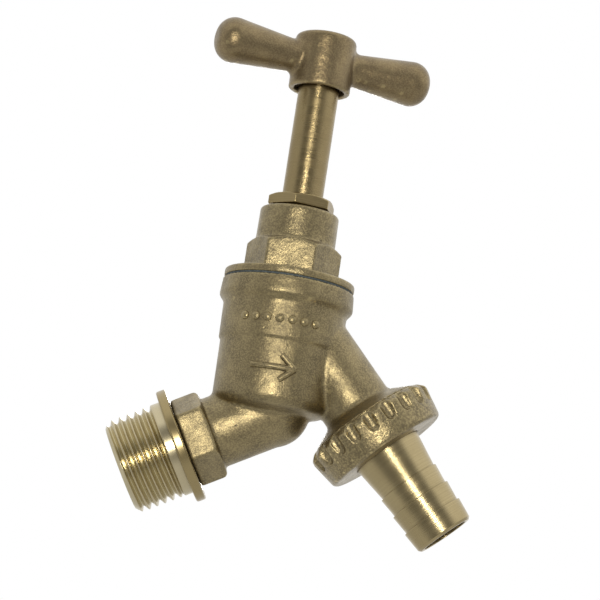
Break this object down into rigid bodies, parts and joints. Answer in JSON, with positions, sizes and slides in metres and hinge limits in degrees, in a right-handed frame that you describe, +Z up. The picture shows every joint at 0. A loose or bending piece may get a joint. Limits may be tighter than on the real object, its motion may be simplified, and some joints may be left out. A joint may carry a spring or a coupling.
{
  "type": "hose bib tap",
  "caption": "Angled brass bib tap with a tee handle, a half inch threaded wall inlet and a hose union with a barbed tail.",
  "frame": {"origin": "centre of the inlet flange's seating face, on the inlet thread's axis", "axes": "-X along the inlet thread into the wall, +Z up as the tap hangs on a wall, +Y across the tap"},
  "size_m": [0.0953, 0.0296, 0.1239],
  "materials": {
    "cast_brass": "shot-blasted hot pressing, fine bright grain",
    "turned_brass": "turned, bright",
    "fibre": "vulcanised fibre",
    "packing_yarn": "graphited yarn",
    "rubber": "moulded, matt",
    "steel": "plain"
  },
  "bodies": {
    "valve_body": {"tap_body": "cast_brass", "body_washer": "fibre", "bonnet": "cast_brass", "packing_washer": "turned_brass", "lower_packing": "packing_yarn", "upper_packing": "packing_yarn", "gland_nut": "turned_brass"},
    "jumper_set": {"jumper": "turned_brass", "tap_washer": "rubber", "jumper_nut": "turned_brass"},
    "spindle_set": {"spindle": "turned_brass", "tee_handle": "cast_brass", "handle_screw": "steel"},
    "union_seal": {"union_washer": "rubber"},
    "tail": {"hose_tail": "turned_brass"},
    "nut": {"union_nut": "cast_brass"}
  },
  "joints": [
    {"name": "valve_lift", "type": "slide", "parent": "valve_body", "child": "jumper_set", "axis": [0.4924, 0, 0.8704], "range_m": [0, 0.006]},
    {"name": "handle_turn", "type": "hinge", "parent": "jumper_set", "child": "spindle_set", "pos_m": [0.0216, 0, 0], "axis": [0.4924, 0, 0.8704], "range_deg": [0, 864]},
    {"name": "union_back_off", "type": "slide", "parent": "valve_body", "child": "union_seal", "axis": [0.225, 0, -0.9744], "range_m": [0, 0.00363]},
    {"name": "union_nut_turn", "type": "hinge", "parent": "union_seal", "child": "nut", "pos_m": [0.04129, 0, -0.01321], "axis": [0.225, 0, -0.9744], "range_deg": [0, 720]},
    {"name": "tail_swivel", "type": "hinge", "parent": "union_seal", "child": "tail", "pos_m": [0.04129, 0, -0.01321], "axis": [0.225, 0, -0.9744], "continuous": true}
  ],
  "couplings": [
    {"joint": "handle_turn", "follows": "valve_lift", "rad_per_m": 2513.3},
    {"joint": "union_nut_turn", "follows": "union_back_off", "rad_per_m": 3463.7}
  ]
}
